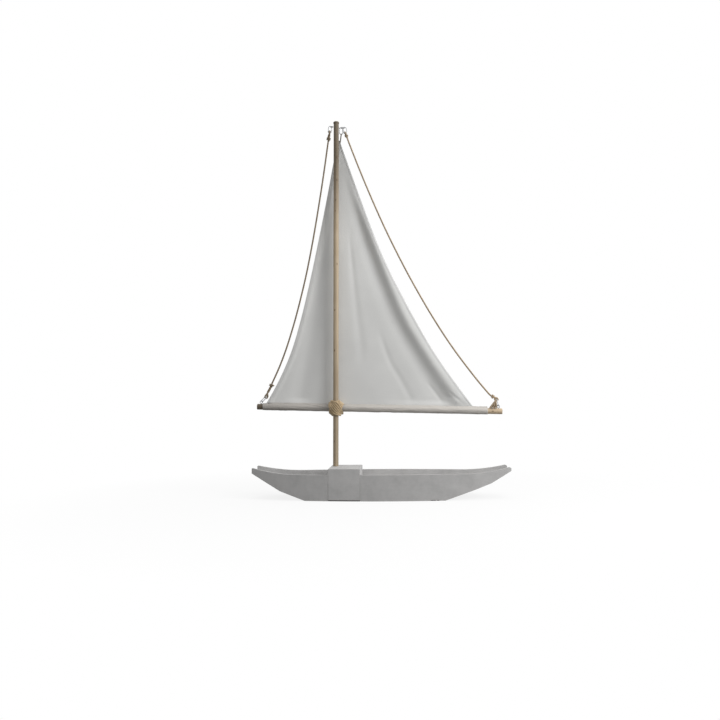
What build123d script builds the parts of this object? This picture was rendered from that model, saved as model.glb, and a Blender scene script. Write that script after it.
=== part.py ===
from build123d import *
import math
import os

# Decorative sailing boat: open wooden hull on a flat bottom, a mast stepped in a block,
# a boom lashed to the mast, a cloth sail sleeved on the boom and two rope stays on snap hooks.
# Millimetres. X runs along the hull, -Y is the front side, Z is up, z = 0 is the floor.

os.makedirs("parts", exist_ok=True)

# ---- overall sizes ----
hull_length = 1530.0       # over the tips of the side boards
hull_width = 400.0         # over the side boards, amidships
tip_width = 190.0          # over the side boards, at the tips
total_height = 2350.0      # floor to the top of the mast cap
gunwale_height = 147.0     # top edge of the side boards, amidships
tip_height = 182.0         # top edge of the side boards, at the tips

# ---- hull boards ----
board_thickness = 18.0
plank_thickness = 12.0
sheer_flat = 0.63          # share of the half length over which the top edge runs level
plank_end_set_back = 45.0  # the planking stops this far short of each tip
blunt_tip_round = 5.0
nose_tip_round = 11.0
joint_gap = 0.3            # clearance between separately cut wooden pieces
cut_spare = 1.0            # a bore runs this far past the face it opens

# ---- mast block ----
block_left = -304.0        # X of its left flank
block_width = 185.0
block_front = 200.0        # it reaches through the front board, planed flush with it
block_back = 100.0
block_height = 182.0
base_plate_thickness = 6.0
plate_inset = 1.0
edge_ease = 1.5
socket_floor = 30.0        # z of the bottom of the mast socket

# ---- spars ----
mast_dia = 33.0
mast_fit = 0.3             # radial clearance of the mast in its socket
mast_inset = 29.0          # mast axis from the left flank of the block
cap_dia = 37.0
cap_height = 12.0
cap_round = 5.0
cap_ease = 1.5
boom_dia = 35.0
boom_left_reach = 488.0    # along X, from the mast axis to the left end
boom_right_reach = 1014.0
boom_height = 528.5        # boom axis where it crosses the mast
boom_droop_deg = 1.45      # the boom hangs lower on the right
boom_gap = 0.5             # between the mast and the sleeve on the boom

# ---- sail ----
cloth_thickness = 2.0
sleeve_wall = 3.5
sleeve_play = 0.5          # radial, sleeve on boom
sleeve_left_bare = 35.0    # boom left bare beyond the sleeve, along X
sleeve_right_bare = 90.0
sail_head_drop = 110.0     # top of the sail below the top of the mast
foot_gap = 0.3             # the sheet starts this far above the sleeve
strap_width = 7.0
strap_band = 2.0
strap_play = 1.2           # room for the curve of the hook inside the loop
strap_root = (23.0, 14.0)  # lower end of the strap: right of the mast axis, below the sail head

# ---- eyes and snap hooks ----
eye_wire = 3.5
eye_outer = 20.0
wide_eye_outer = 26.0
eye_bite = 12.0            # length of the shank inside the wood
pilot_play = 0.1
eye_drop_left = 33.0       # below the top of the mast
eye_drop_right = 41.0
eye_inset_left = 24.0      # from the left end of the boom
eye_inset_right = 23.0
hook_wire = 5.0
hook_length = 50.0
hook_width = 25.0
hook_play = 0.3
turned_hook_play = 0.6     # a hook that is turned about its length bears on its side
sail_hook_y = 5.5          # the sail hook hangs behind the shank of the wide eye
gate_dia = 4.0
gate_pivot_z = -7.5        # in the hook's own frame, origin at its middle
gate_tip_z = 9.5
gate_gap = 0.3

# ---- rope stays and their knots ----
rope_dia = 11.0
bend_share = 0.45          # share of the shorter run taken by each arc
knot_dia = 20.0
tail_dia = 8.0
tail_forward = 8.0         # the tails pass this far in front of the snap hook
tail_top = (-12.5, 3.7)    # X and Z of their shared top, from the bar of the hook
tail_feet = [-45.5, -0.5]  # X where they meet the boom, from the bar of the hook
tail_sink = 1.0            # they press this far into the boom's height

# ---- lashing of the boom to the mast ----
lash_dia = 9.0             # a thinner rope than the stays
lash_slope_deg = 50.0      # of the strands, from level
lash_turns = 4
lash_pitch = 9.2
lash_corner = 12.0
lash_gap = 0.6             # between the sides of a turn and the spars

# ---- derived places ----
half_length = hull_length / 2
half_width = hull_width / 2
bow_in = (hull_width - tip_width) / 2
bend_radius = (half_length ** 2 + bow_in ** 2) / (2 * bow_in)
inner_radius = bend_radius - board_thickness
block_right = block_left + block_width
mast_x = block_left + mast_inset
mast_radius = mast_dia / 2
boom_radius = boom_dia / 2
sleeve_inner = boom_radius + sleeve_play
sleeve_outer = sleeve_inner + sleeve_wall
sleeve_left_reach = boom_left_reach - sleeve_left_bare
sleeve_right_reach = boom_right_reach - sleeve_right_bare
boom_y = mast_radius + sleeve_outer + boom_gap
boom_fall = math.tan(math.radians(boom_droop_deg))
rope_radius = rope_dia / 2
lash_radius = lash_dia / 2
sail_head_z = total_height - sail_head_drop
hook_bend = (hook_width - hook_wire) / 2
hook_half = (hook_length - hook_wire) / 2

# Underside of the side boards: corner points (X as a share of the half length, z).
underside = [
    (-1.0, 150.0),
    (-0.771, 52.0),
    (-0.575, 0.0),
    (0.484, 0.0),
    (0.712, 56.0),
    (0.843, 92.0),
    (1.0, 158.0),
]

# Dark feet let into the underside: name, X of the left edge, width.
feet = [
    ("foot_strip_wide", 287.0, 28.0),
    ("foot_strip_narrow", 321.0, 14.0),
]
foot_height = 4.0
foot_inset = 1.0

# Planks of the bottom, from left to right, one for each straight of the underside.
plank_names = [
    "ramp_plank_left_upper",
    "ramp_plank_left_lower",
    "bottom_plank",
    "ramp_plank_right_lower",
    "ramp_plank_right_middle",
    "ramp_plank_right_upper",
]


def boom_z(x):
    """Height of the boom axis at X."""
    return boom_height - (x - mast_x) * boom_fall


def prism_y(face, reach=hull_width):
    """A face drawn in X and Z, given depth to both sides of the centre line."""
    return extrude(face, amount=reach, both=True)


def outline_points():
    return [(share * half_length, z) for share, z in underside]


def side_profile():
    """Side view of a side board: faceted underside, level top edge that sweeps up to the tips."""
    low = outline_points()
    level = sheer_flat * half_length
    with BuildSketch(Plane.XZ) as sk:
        with BuildLine():
            Polyline(*low)
            Line(low[-1], (half_length, tip_height))
            TangentArc((level, gunwale_height), (half_length, tip_height), tangent=(1, 0))
            Line((-level, gunwale_height), (level, gunwale_height))
            TangentArc((-level, gunwale_height), (-half_length, tip_height), tangent=(-1, 0))
            Line((-half_length, tip_height), low[0])
        make_face()
    return sk.sketch


def tip_corners(face, sign):
    return [v for v in face.vertices() if abs(v.X - sign * half_length) < 0.01]


def plan_cylinder(side, radius):
    """Upright cylinder whose surface is the bend of a side board; side is -1 front, 1 back."""
    centre_y = side * (half_width - bend_radius)
    return Pos(0, centre_y, tip_height / 2) * Cylinder(radius, 2 * tip_height)


def rounded_profile():
    face = side_profile()
    face = fillet(tip_corners(face, -1), blunt_tip_round)
    return fillet(tip_corners(face, 1), nose_tip_round)


def side_board(side):
    """One bent board, whole length."""
    slab = prism_y(rounded_profile())
    half = Pos(0, side * half_width, 0) * Box(2 * hull_length, hull_width, 4 * tip_height)
    ring = plan_cylinder(side, bend_radius) - plan_cylinder(side, inner_radius)
    board = slab & half & ring
    return board - foot_space()


def foot_space(play=0.0):
    spaces = []
    for name, left, width in feet:
        centre = (left + width / 2, 0, foot_height / 2)
        wide = width + 2 * play
        spaces.append(Pos(*centre) * Box(wide, 2 * hull_width, foot_height + 2 * play))
    return spaces[0] + spaces[1]


def between_boards(solid):
    """Keep what lies between the inner faces of the two side boards."""
    inside = inner_radius - joint_gap
    return solid & plan_cylinder(-1, inside) & plan_cylinder(1, inside)


def block_space():
    depth = block_front + block_back
    centre = (block_left + block_width / 2, (block_back - block_front) / 2, block_height / 2)
    wide = block_width + 2 * joint_gap
    return Pos(*centre) * Box(wide, depth + 2 * joint_gap, 2 * block_height)


def front_boards():
    """The front board is in two lengths that butt against the mast block."""
    whole = side_board(-1)
    opening = Box(block_width + 2 * joint_gap, hull_width, 4 * tip_height)
    cut = whole - Pos(block_left + block_width / 2, -half_width, 0) * opening
    pieces = sorted(cut.solids(), key=lambda s: s.center().X)
    return pieces[0], pieces[-1]


def plank_chain():
    """Outer and inner corner points of the planking, mitred at every bend."""
    outer = outline_points()
    first = half_length - plank_end_set_back
    outer[0] = point_on(outer[0], outer[1], -first)
    outer[-1] = point_on(outer[-2], outer[-1], first)
    inner = []
    last = len(outer) - 1
    for i in range(len(outer)):
        before = heading(outer[max(i - 1, 0)], outer[max(i, 1)])
        after = heading(outer[min(i, last - 1)], outer[min(i + 1, last)])
        mean = (before + after) / 2
        reach = plank_thickness / math.cos((after - before) / 2)
        inner.append((outer[i][0] - reach * math.sin(mean), outer[i][1] + reach * math.cos(mean)))
    return outer, inner


def heading(a, b):
    return math.atan2(b[1] - a[1], b[0] - a[0])


def point_on(a, b, x):
    share = (x - a[0]) / (b[0] - a[0])
    return (x, a[1] + share * (b[1] - a[1]))


def planks():
    outer, inner = plank_chain()
    made = []
    for i, name in enumerate(plank_names):
        corners = [outer[i], outer[i + 1], inner[i + 1], inner[i]]
        corners = [(x + (joint_gap if k in (0, 3) else 0), z) for k, (x, z) in enumerate(corners)]
        with BuildSketch(Plane.XZ) as sk:
            with BuildLine():
                Polyline(*corners, close=True)
            make_face()
        plank = between_boards(prism_y(sk.sketch))
        if name == "bottom_plank":
            plank = plank - block_space() - foot_space()
        made.append((name, plank))
    return made


def foot_strip(left, width):
    """A strip across the hull, just short of the outer faces of the side boards."""
    strip = Pos(left + width / 2, 0, foot_height / 2) * Box(width, hull_width, foot_height)
    outline = bend_radius - foot_inset
    return strip & plan_cylinder(-1, outline) & plan_cylinder(1, outline)


def block_solid(low, high, inset=0.0):
    """The outline of the mast block between two heights, its front flush with the side board."""
    wide = block_width - 2 * inset
    depth = block_front + block_back - 2 * inset
    centre = (block_left + block_width / 2, (block_back - block_front) / 2, (low + high) / 2)
    solid = Pos(*centre) * Box(wide, depth, high - low)
    return solid & plan_cylinder(-1, bend_radius - inset)


def mast_block():
    block = block_solid(base_plate_thickness, block_height)
    eased = block.edges().group_by(Axis.Z)[-1] + block.edges().filter_by(Axis.Z)
    block = chamfer(eased, edge_ease)
    deep = block_height - socket_floor + cut_spare
    bore = Cylinder(mast_radius + mast_fit, deep)
    return block - Pos(mast_x, 0, socket_floor + deep / 2) * bore


def base_plate():
    return block_solid(0, base_plate_thickness, plate_inset)


# ---- screw eyes ----
# name, X of the root on the mast side or boom top, Z on the mast (None on the boom),
# way the shank points (-1 left, 1 right, 0 up), ring over all, bare neck, turn in degrees
high_left = total_height - eye_drop_left
high_right = total_height - eye_drop_right
far_left = mast_x - boom_left_reach + eye_inset_left
far_right = mast_x + boom_right_reach - eye_inset_right
eyes = [
    ("screw_eye_mast_left", mast_x - mast_radius, high_left, -1, eye_outer, 3.0, 0.0),
    ("screw_eye_mast_right", mast_x + mast_radius, high_right, 1, wide_eye_outer, 12.0, 0.0),
    ("screw_eye_boom_left", far_left, None, 0, eye_outer, 1.0, -58.0),
    ("screw_eye_boom_right", far_right, None, 0, eye_outer, 1.0, -76.0),
]


def boom_top(x):
    return boom_z(x) + boom_radius / math.cos(math.radians(boom_droop_deg))


def eye_location(x, z, side, turn):
    """Root of an eye on the wood; local +Z points out of the wood."""
    if side == 0:
        return Pos(x, boom_y, boom_top(x)) * Rot(0, boom_droop_deg, 0) * Rot(0, 0, turn)
    return Pos(x, 0, z) * Rot(0, side * 90, 0) * Rot(0, 0, turn)


def screw_eye(outer, neck):
    """Made along +Z from the wood surface, its ring across the hull direction."""
    ring = Torus((outer - eye_wire) / 2, eye_wire / 2)
    top = neck + eye_wire / 2
    shank = Pos(0, 0, (top - eye_bite) / 2) * Cylinder(eye_wire / 2, top + eye_bite)
    return shank + Pos(0, 0, neck + outer / 2) * Rot(0, 90, 0) * ring


def pilot_hole():
    return Pos(0, 0, -eye_bite / 2) * Cylinder(eye_wire / 2 + pilot_play, eye_bite + 2 * cut_spare)


def ring_seat(name, pull):
    """Where a hook that pulls in X and Z bears on the ring wire, and the way the wire runs there."""
    for eye, x, z, side, outer, neck, turn in eyes:
        if eye == name:
            root = eye_location(x, z, side, turn)
            frame = Plane(root)
            centre = (root * Pos(0, 0, neck + outer / 2)).position
            way = Vector(pull[0], 0, pull[1])
            flat = way - frame.x_dir * way.dot(frame.x_dir)
            outward = flat.normalized() if flat.length > 0.01 else frame.z_dir
            return centre + outward * ((outer - eye_wire) / 2), frame.x_dir.cross(outward)
    raise ValueError(name)


# ---- mast and boom ----
def mast():
    tall = total_height - cap_height - socket_floor - joint_gap
    rod = Pos(mast_x, 0, socket_floor + joint_gap + tall / 2) * Cylinder(mast_radius, tall)
    rod = chamfer(rod.edges().group_by(Axis.Z)[0], edge_ease)
    for name, x, z, side, outer, neck, turn in eyes:
        if side != 0:
            rod = rod - eye_location(x, z, side, turn) * pilot_hole()
    return rod


def mast_cap():
    cap = Cylinder(cap_dia / 2, cap_height)
    cap = fillet(cap.edges().group_by(Axis.Z)[-1], cap_round)
    cap = fillet(cap.edges().group_by(Axis.Z)[0], cap_ease)
    return Pos(mast_x, 0, total_height - cap_height / 2) * cap


def along_boom(radius, left, right):
    """A round bar on the boom axis between two reaches from the mast axis, measured along X."""
    slope = math.cos(math.radians(boom_droop_deg))
    length = (left + right) / slope
    middle = mast_x + (right - left) / 2
    bar = Cylinder(radius, length)
    return Pos(middle, boom_y, boom_z(middle)) * Rot(0, 90 + boom_droop_deg, 0) * bar


def boom():
    rod = along_boom(boom_radius, boom_left_reach, boom_right_reach)
    rod = chamfer(rod.edges(), edge_ease)
    for name, x, z, side, outer, neck, turn in eyes:
        if side == 0:
            rod = rod - eye_location(x, z, side, turn) * pilot_hole()
    return rod


# ---- snap hooks ----
# name, eye it hangs on, pull direction (X, Z) from the eye to the rope, gate on which side,
# turn about its own length in degrees
hooks = [
    ("snap_hook_stay_left_top", "screw_eye_mast_left", (-0.14, -1.0), 1, 0.0),
    ("snap_hook_stay_right_top", "screw_eye_mast_right", (0.2, -1.0), 1, 0.0),
    ("snap_hook_sail_head", "screw_eye_mast_right", (0.0, -1.0), -1, 0.0),
    ("snap_hook_stay_left_bottom", "screw_eye_boom_left", (0.9, 1.0), 1, 50.0),
    ("snap_hook_stay_right_bottom", "screw_eye_boom_right", (-0.3, 1.0), -1, 75.0),
]


def hook_anchor(name, eye, pull):
    wire, run = ring_seat(eye, pull)
    if name != "snap_hook_sail_head":
        return wire, run
    ring = (wide_eye_outer - eye_wire) / 2
    centre = wire.X - ring
    return Vector(centre - math.sqrt(ring ** 2 - sail_hook_y ** 2), sail_hook_y, wire.Z), run


def hook_plane(name):
    """Local +Z points to the eye, local +X to the gate."""
    for hook, eye, pull, gate_side, turn in hooks:
        if hook == name:
            anchor, run = hook_anchor(hook, eye, pull)
            size = math.hypot(*pull)
            z_dir = Vector(-pull[0] / size, 0, -pull[1] / size)
            level = Vector(z_dir.Z, 0, -z_dir.X).rotate(Axis((0, 0, 0), z_dir), turn)
            across = run.cross(level)
            lean = abs(across.dot(z_dir)) / across.length
            play = turned_hook_play if turn else hook_play
            wires_apart = hook_wire / 2 + eye_wire / 2 + play
            origin = anchor - z_dir * (hook_half - wires_apart / lean)
            return Plane(origin=origin, x_dir=level * gate_side, z_dir=z_dir)
    raise ValueError(name)


def hook_frame():
    """Bent wire, open on the gate side."""
    side = hook_half - hook_bend
    low = gate_pivot_z - gate_dia / 2 - gate_gap
    high = gate_tip_z + gate_gap
    with BuildLine(Plane.XZ) as path:
        Line((hook_bend, low), (hook_bend, -side))
        RadiusArc((hook_bend, -side), (-hook_bend, -side), hook_bend)
        Line((-hook_bend, -side), (-hook_bend, side))
        RadiusArc((-hook_bend, side), (hook_bend, side), hook_bend)
        Line((hook_bend, side), (hook_bend, high))
    start = Plane(origin=(hook_bend, 0, low), z_dir=(0, 0, -1))
    with BuildSketch(start) as sk:
        Circle(hook_wire / 2)
    return sweep(sk.sketch, path=path.line)


def hook_gate():
    tall = gate_tip_z - gate_pivot_z
    rod = Pos(hook_bend, 0, gate_pivot_z + tall / 2) * Cylinder(gate_dia / 2, tall)
    return rod + Pos(hook_bend, 0, gate_pivot_z) * Sphere(gate_dia / 2)


def gate_pivot(name):
    plane = hook_plane(name)
    return plane.from_local_coords(Vector(hook_bend, 0, gate_pivot_z))


# ---- rope stays ----
# Middle line of each stay from its top knot to its bottom knot.
stay_left_points = [
    (-325.0, 1.1, 2230.0),
    (-341.5, 3.9, 2105.0),
    (-359.0, 6.9, 1978.0),
    (-378.0, 9.8, 1851.0),
    (-398.0, 12.7, 1724.0),
    (-419.0, 15.7, 1597.0),
    (-442.0, 18.6, 1470.0),
    (-467.0, 21.5, 1344.0),
    (-496.0, 24.4, 1219.0),
    (-527.0, 27.3, 1095.0),
    (-562.0, 30.1, 973.0),
    (-601.0, 32.9, 853.0),
    (-644.0, 35.4, 745.0),
    (-689.0, 37.5, 651.0),
]
stay_right_points = [
    (-201.0, 1.1, 2231.0),
    (-158.0, 3.7, 2115.0),
    (-113.5, 6.4, 1999.0),
    (-67.5, 9.0, 1884.0),
    (-20.0, 11.6, 1770.0),
    (29.0, 14.2, 1657.0),
    (80.5, 16.8, 1546.0),
    (134.0, 19.3, 1436.0),
    (189.5, 21.8, 1327.0),
    (248.0, 24.3, 1219.0),
    (307.5, 26.7, 1113.0),
    (370.0, 29.1, 1009.0),
    (436.0, 31.4, 906.0),
    (507.5, 33.6, 805.0),
    (580.5, 35.8, 708.0),
    (625.0, 37.0, 652.0),
    (664.0, 38.0, 606.0),
]
# Where the free rope starts, from the bar of its snap hook: X, Y, Z.
rope_starts = {
    "snap_hook_stay_left_top": (-6.6, 1.1, -46.9),
    "snap_hook_stay_left_bottom": (18.6, -3.6, 45.8),
    "snap_hook_stay_right_top": (13.3, 1.1, -38.3),
    "snap_hook_stay_right_bottom": (-38.5, 0.1, 27.7),
}


def hook_bar(hook):
    """Middle of the wire that the rope or the strap is looped round."""
    return hook_plane(hook).from_local_coords(Vector(0, 0, -hook_half))


def stay_route(points, top_hook, low_hook):
    """The listed points, scaled so that the stay runs from one knot to the other."""
    top = hook_bar(top_hook) + Vector(*rope_starts[top_hook])
    low = hook_bar(low_hook) + Vector(*rope_starts[low_hook])
    first, last = points[0], points[-1]
    route = []
    for point in points:
        place = []
        for k, (a, b) in enumerate(zip(top, low)):
            share = (point[k] - first[k]) / (last[k] - first[k])
            place.append(a + share * (b - a))
        route.append(tuple(place))
    return route


def run_lengths(points):
    return [(Vector(*b) - Vector(*a)).length for a, b in zip(points, points[1:])]


def bend_radii(points):
    """Largest tangent arc that leaves a little straight on both sides of each corner."""
    runs = run_lengths(points)
    radii = []
    for i in range(1, len(points) - 1):
        into = Vector(*points[i]) - Vector(*points[i - 1])
        away = Vector(*points[i + 1]) - Vector(*points[i])
        turn = math.radians(into.get_angle(away))
        radii.append(bend_share * min(runs[i - 1], runs[i]) / math.tan(turn / 2))
    return radii


def rope(points, radius=rope_radius):
    """Tube of straight runs and tangent arcs through the points."""
    radii = bend_radii(points)
    with BuildLine() as path:
        FilletPolyline(*points, radius=radii)
    start = Plane(origin=points[0], z_dir=Vector(*points[1]) - Vector(*points[0]))
    with BuildSketch(start) as sk:
        Circle(radius)
    return sweep(sk.sketch, path=path.line)


def capsule(a, b, radius):
    """Round-ended bar from a to b, the ends reaching just to a and b."""
    a = Vector(*a)
    b = Vector(*b)
    way = (b - a).normalized()
    tall = (b - a).length - 2 * radius
    plane = Plane(origin=a + way * radius, z_dir=way)
    bar = Pos(0, 0, tall / 2) * Cylinder(radius, tall)
    ends = Sphere(radius) + Pos(0, 0, tall) * Sphere(radius)
    return plane * (bar + ends)


def knot(hook, route):
    """Rope eye round the bar of a snap hook, and the binding that ends flat against the stay."""
    bar = hook_bar(hook)
    loop_radius = hook_wire / 2 + rope_radius + hook_play
    eye = hook_plane(hook) * Pos(0, 0, -hook_half) * Rot(0, 90, 0) * Torus(loop_radius, rope_radius)
    end = Vector(*route[0])
    way = (end - bar).normalized()
    binding = capsule(bar + way * loop_radius, end + way * knot_dia, knot_dia / 2)
    beyond = Plane(origin=end, z_dir=Vector(*route[1]) - end)
    spare = beyond * Pos(0, 0, knot_dia) * Box(3 * knot_dia, 3 * knot_dia, 2 * knot_dia)
    return eye + (binding - spare)


def knot_with_tails(hook, route):
    """The lower knot of the right stay, with two short tails that reach down to the boom."""
    whole = knot(hook, route)
    bar = hook_bar(hook)
    tail_y = boom_y - tail_forward
    top = (bar.X + tail_top[0], tail_y, bar.Z + tail_top[1])
    drop = boom_radius - math.sqrt(boom_radius ** 2 - tail_forward ** 2)
    for step in tail_feet:
        x = bar.X + step
        foot = (x, tail_y, boom_top(x) - drop + tail_sink)
        whole = whole + capsule(top, foot, tail_dia / 2)
    return whole


# ---- lashing of the boom to the mast ----
def lash_reach():
    """Half length of a turn along the strand, so that its sides pass clear of both spars.
    The boom isn't level, so it rises a little across the lashing."""
    slope = math.radians(lash_slope_deg)
    side = math.sin(slope)
    end = math.cos(slope)
    spread = (lash_turns - 1) / 2 * lash_pitch
    past_mast = mast_radius + lash_radius + lash_gap + spread * side
    past_boom = sleeve_outer + lash_radius + lash_gap + spread * (end + boom_fall * side)
    return max(past_mast / end, past_boom / (side - boom_fall * end))


def lash_turn(slope_deg, offset, layer):
    """One closed turn of rope round mast and boom; layer 0 lies on the wood, layer 1 over it."""
    front = -(mast_radius + lash_radius + joint_gap + layer * lash_pitch)
    back = boom_y + sleeve_outer + lash_radius + joint_gap + layer * lash_pitch
    middle = (front + back) / 2
    with BuildSketch() as sk:
        RectangleRounded(2 * lash_reach(), back - front, lash_corner)
    wire = sk.sketch.wires()[0]
    start = Plane(origin=(0, (front - back) / 2, 0), z_dir=(1, 0, 0))
    with BuildSketch(start) as dot:
        Circle(lash_radius)
    ring = sweep(dot.sketch, path=wire, transition=Transition.RIGHT)
    ring = Pos(0, middle, offset) * ring
    return Pos(mast_x, 0, boom_z(mast_x)) * Rot(0, -slope_deg, 0) * ring


def lash_offsets():
    return [(i - (lash_turns - 1) / 2) * lash_pitch for i in range(lash_turns)]


def lashing():
    turns = []
    for offset in lash_offsets():
        turns.append(lash_turn(lash_slope_deg, offset, 0))
        turns.append(lash_turn(180 - lash_slope_deg, offset, 1))
    return Compound(children=turns)


# ---- sail ----
# Edges of the sail from the foot up, from the mast axis. X is a share of the sleeve's reach on
# that side, and height is a share of the rise from the boom axis to the head of the sail.
# The foot itself lies in the sleeve.
sail_left_edge = [
    (-0.949, 0.018),
    (-0.768, 0.100),
    (-0.598, 0.216),
    (-0.426, 0.391),
    (-0.285, 0.570),
    (-0.155, 0.752),
    (-0.033, 0.941),
    (0.029, 1.000),
]
sail_right_edge = [
    (0.907, 0.000),
    (0.801, 0.077),
    (0.719, 0.150),
    (0.619, 0.242),
    (0.509, 0.356),
    (0.330, 0.537),
    (0.240, 0.658),
    (0.156, 0.781),
    (0.077, 0.905),
    (0.027, 1.000),
]


def edge_points(edge, reach):
    rise = sail_head_z - boom_height
    return [(mast_x + across * reach, boom_height + up * rise) for across, up in edge]


def sail_slots():
    """Openings in the cloth where the two upper corners of the lashing pass through."""
    spread = (lash_turns - 1) * lash_pitch
    wide = lash_dia + 2 * joint_gap
    made = []
    for slope in (lash_slope_deg, 180 - lash_slope_deg):
        way = math.radians(slope)
        x = mast_x + lash_reach() * math.cos(way)
        z = boom_z(mast_x) + lash_reach() * math.sin(way)
        slot = Box(2 * wide, boom_dia, spread + 2 * wide)
        made.append(Pos(x, boom_y, z) * Rot(0, -slope, 0) * slot)
    return made[0] + made[1]


def sail():
    """Flat cloth triangle that rises from the sleeve."""
    left = edge_points(sail_left_edge, sleeve_left_reach)
    right = edge_points(sail_right_edge, sleeve_right_reach)
    rise = sleeve_outer + foot_gap
    left[0] = (left[0][0], boom_z(left[0][0]) + rise)
    right[0] = (right[0][0], boom_z(right[0][0]) + rise)
    corners = left + right[::-1]
    with BuildSketch(Plane.XZ) as sk:
        with BuildLine():
            Polyline(*corners, close=True)
        make_face()
    cloth = Pos(0, boom_y, 0) * prism_y(sk.sketch, cloth_thickness / 2)
    return cloth - sail_slots()


def sleeve():
    """The foot of the sail, sewn into a tube round the boom."""
    tube = along_boom(sleeve_outer, sleeve_left_reach, sleeve_right_reach)
    hollow = along_boom(sleeve_inner, sleeve_left_reach + cut_spare, sleeve_right_reach + cut_spare)
    return tube - hollow


def head_strap():
    """Short loop of webbing from the head of the sail to its snap hook."""
    bar = hook_bar("snap_hook_sail_head")
    inner = hook_wire / 2 + strap_play
    loop = Cylinder(inner + strap_band, strap_width) - Cylinder(inner, strap_width)
    loop = Pos(bar.X, bar.Y, bar.Z) * Rot(0, 90, 0) * loop
    low_y = boom_y - cloth_thickness / 2 - joint_gap - strap_band / 2
    low = Vector(mast_x + strap_root[0], low_y, sail_head_z - strap_root[1])
    start = Vector(bar.X, bar.Y, bar.Z - inner - strap_band / 2)
    way = start - low
    plane = Plane(origin=low, x_dir=(1, 0, 0), z_dir=way)
    leg = plane * Pos(0, 0, way.length / 2) * Box(strap_width, strap_band, way.length)
    return loop + leg


def checked(name, shape):
    """Save one node and say how large it is."""
    export_step(shape, f"parts/{name}.step")
    box = shape.bounding_box()
    count = len(shape.solids())
    print(f"{name:32s} solids {count}  volume {shape.volume / 1000:9.2f} cm3  "
          f"z {box.min.Z:7.1f} to {box.max.Z:7.1f}")


def main():
    front_left, front_right = front_boards()
    checked("side_board_front_left", front_left)
    checked("side_board_front_right", front_right)
    checked("side_board_back", side_board(1))
    for name, plank in planks():
        checked(name, plank)
    for name, left, width in feet:
        checked(name, foot_strip(left, width))
    checked("mast_block", mast_block())
    checked("mast_block_base_plate", base_plate())
    checked("mast", mast())
    checked("mast_cap", mast_cap())
    checked("boom", boom())
    for name, x, z, side, outer, neck, turn in eyes:
        checked(name, eye_location(x, z, side, turn) * screw_eye(outer, neck))
    for name, eye, pull, gate_side, turn in hooks:
        checked(name, hook_plane(name) * hook_frame())
        checked(name.replace("snap_hook", "hook_gate"), hook_plane(name) * hook_gate())
        pivot = gate_pivot(name)
        pin = hook_plane(name).y_dir
        print(f"    gate pivot {pivot.X:.2f} {pivot.Y:.2f} {pivot.Z:.2f}  "
              f"pin {pin.X:.4f} {pin.Y:.4f} {pin.Z:.4f}")
    for side, points in (("left", stay_left_points), ("right", stay_right_points)):
        top_hook = f"snap_hook_stay_{side}_top"
        low_hook = f"snap_hook_stay_{side}_bottom"
        route = stay_route(points, top_hook, low_hook)
        checked(f"stay_{side}", rope(route))
        print(f"    runs {sum(run_lengths(route)):.0f} mm")
        checked(f"knot_stay_{side}_top", knot(top_hook, route))
        ending = knot if side == "left" else knot_with_tails
        checked(f"knot_stay_{side}_bottom", ending(low_hook, route[::-1]))
    checked("boom_lashing", lashing())
    checked("sail", sail())
    checked("sail_sleeve", sleeve())
    checked("sail_head_strap", head_strap())


main()
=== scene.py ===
import fnmatch
import functools
import math

import bmesh
import bpy
import numpy as np
from mathutils import Euler, Matrix, Vector, noise


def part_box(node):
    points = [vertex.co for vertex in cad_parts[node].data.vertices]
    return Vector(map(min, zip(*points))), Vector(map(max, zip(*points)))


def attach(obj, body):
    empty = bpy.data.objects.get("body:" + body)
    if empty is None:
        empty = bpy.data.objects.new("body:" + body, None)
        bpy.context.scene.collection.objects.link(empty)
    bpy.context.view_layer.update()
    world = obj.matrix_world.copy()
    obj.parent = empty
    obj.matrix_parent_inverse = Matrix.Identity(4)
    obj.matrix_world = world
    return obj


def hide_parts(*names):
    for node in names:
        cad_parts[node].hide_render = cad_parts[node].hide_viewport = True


bl_info = {
    "name": "Decorative sailing boat",
    "version": (1, 0, 0),
    "blender": (4, 5, 0),
    "location": "View3D > Sidebar > Boat",
    "description": "Cloth sail, rope stays, knots and finishes for a decorative sailing boat",
    "category": "Object",
}

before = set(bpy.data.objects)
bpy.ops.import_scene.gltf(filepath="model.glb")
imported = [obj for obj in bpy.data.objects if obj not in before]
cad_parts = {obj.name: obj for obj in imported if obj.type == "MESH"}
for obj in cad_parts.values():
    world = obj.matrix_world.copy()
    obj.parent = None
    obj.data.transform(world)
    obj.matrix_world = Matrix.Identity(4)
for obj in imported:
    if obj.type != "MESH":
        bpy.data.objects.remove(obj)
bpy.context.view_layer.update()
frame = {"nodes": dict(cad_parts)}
sail_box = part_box("sail")
sleeve_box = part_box("sail_sleeve")
boom_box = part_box("boom")
mast_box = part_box("mast")

# Places that come from the frame, in metres.
mast_x = (mast_box[0][0] + mast_box[1][0]) / 2
mast_radius = (mast_box[1][0] - mast_box[0][0]) / 2
boom_y = (boom_box[0][1] + boom_box[1][1]) / 2
boom_radius = (boom_box[1][1] - boom_box[0][1]) / 2
sleeve_radius = (sleeve_box[1][1] - sleeve_box[0][1]) / 2
head_height = sail_box[1][2]

# The boom as in the CAD: how far it falls to the right, which way it lies, its height at the mast.
boom_droop = math.radians(1.45)
boom_way = (math.cos(boom_droop), 0.0, -math.sin(boom_droop))
boom_height = 0.5285

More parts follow.
